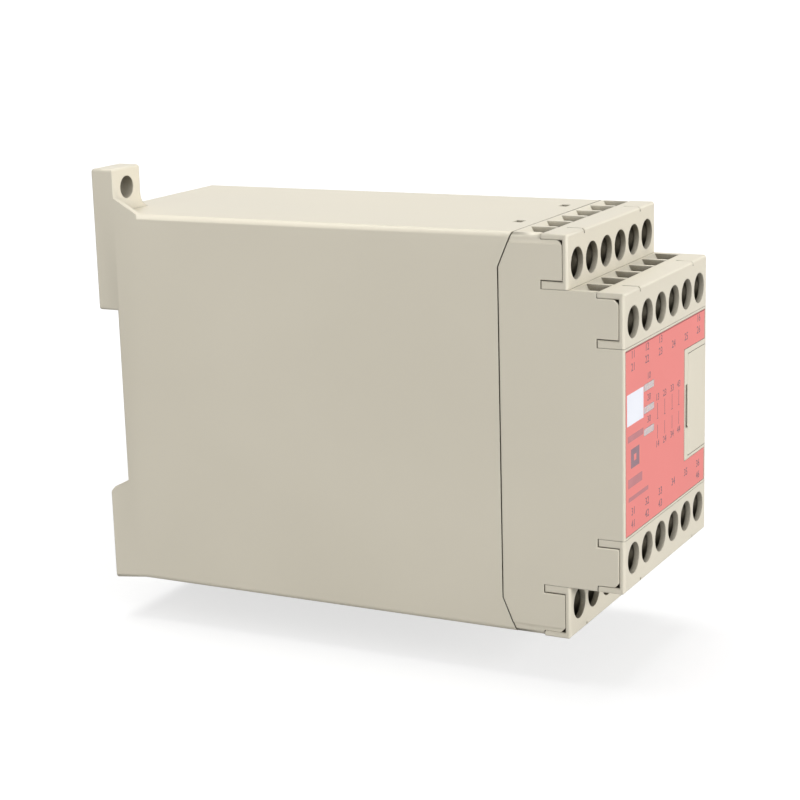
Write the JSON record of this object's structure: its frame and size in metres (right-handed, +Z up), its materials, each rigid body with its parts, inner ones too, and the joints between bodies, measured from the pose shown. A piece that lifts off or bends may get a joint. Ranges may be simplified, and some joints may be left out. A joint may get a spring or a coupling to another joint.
{
  "type": "safety relay",
  "caption": "Deep, narrow beige safety relay module for a 35 mm rail, with stepped screw terminals above and below a light red front label.",
  "frame": {"origin": "middle of the rail seat: centred on the module's width, on the plane where the rail's front face bears, at the middle of the rail channel", "axes": "+X to the right seen from the front and along the rail, +Y back into the panel, +Z up; the front faces -Y"},
  "size_m": [0.045, 0.113, 0.0936],
  "materials": {
    "case_plastic": "fine-grained moulded plastic, beige",
    "clip_plastic": "moulded plastic, beige",
    "label_film": "printed film, light red",
    "clear_plastic": "frosted clear plastic",
    "black_plastic": "moulded plastic, black",
    "zinc_plated_steel": "zinc plated",
    "tinned_brass": "tin plated",
    "circuit_board": "glass-epoxy laminate, green",
    "relay_plastic": "sealed relay case, dark grey",
    "ferrite": "sintered ferrite, dark grey",
    "winding_tape": "polyester tape, yellow",
    "capacitor_sleeve": "shrink sleeve, black",
    "component_epoxy": "dipped epoxy, blue",
    "fuse_ceramic": "ceramic tube",
    "lamp_resin": "clear resin"
  },
  "bodies": {
    "casing": {"rear_case": "case_plastic", "front_case": "case_plastic", "upper_rear_terminal_cover": "case_plastic", "upper_front_terminal_cover": "case_plastic", "lower_front_terminal_cover": "case_plastic", "lower_rear_terminal_cover": "case_plastic", "front_label": "label_film", "light_guide": "clear_plastic", "expansion_header": "black_plastic", "terminal_screws": "zinc_plated_steel", "clamp_washers": "zinc_plated_steel", "rear_tier_terminals": "tinned_brass", "front_tier_terminals": "tinned_brass", "terminal_board": "circuit_board", "power_board": "circuit_board", "relay_board": "circuit_board", "indicator_board": "circuit_board", "safety_relay_1": "relay_plastic", "safety_relay_2": "relay_plastic", "transformer_core": "ferrite", "transformer_winding": "winding_tape", "input_capacitor": "capacitor_sleeve", "output_capacitor": "capacitor_sleeve", "film_capacitor": "component_epoxy", "surge_varistor": "component_epoxy", "mains_fuse": "fuse_ceramic", "filter_choke": "ferrite", "bridge_rectifier": "black_plastic", "switching_transistor": "black_plastic", "optocouplers": "black_plastic", "monitoring_chip_1": "black_plastic", "monitoring_chip_2": "black_plastic", "indicator_lamps": "lamp_resin", "board_connectors": "black_plastic"},
    "rail_clip": {"din_clip": "clip_plastic"},
    "socket_cover": {"receptacle_cover": "case_plastic"}
  },
  "joints": [
    {"name": "rail_clip_slide", "type": "slide", "parent": "casing", "child": "rail_clip", "axis": [0, 0, -1], "range_m": [0, 0.005], "stiffness_N_per_m": 1500},
    {"name": "socket_cover_pull", "type": "slide", "parent": "casing", "child": "socket_cover", "axis": [0, -1, 0], "range_m": [0, 0.02]}
  ]
}
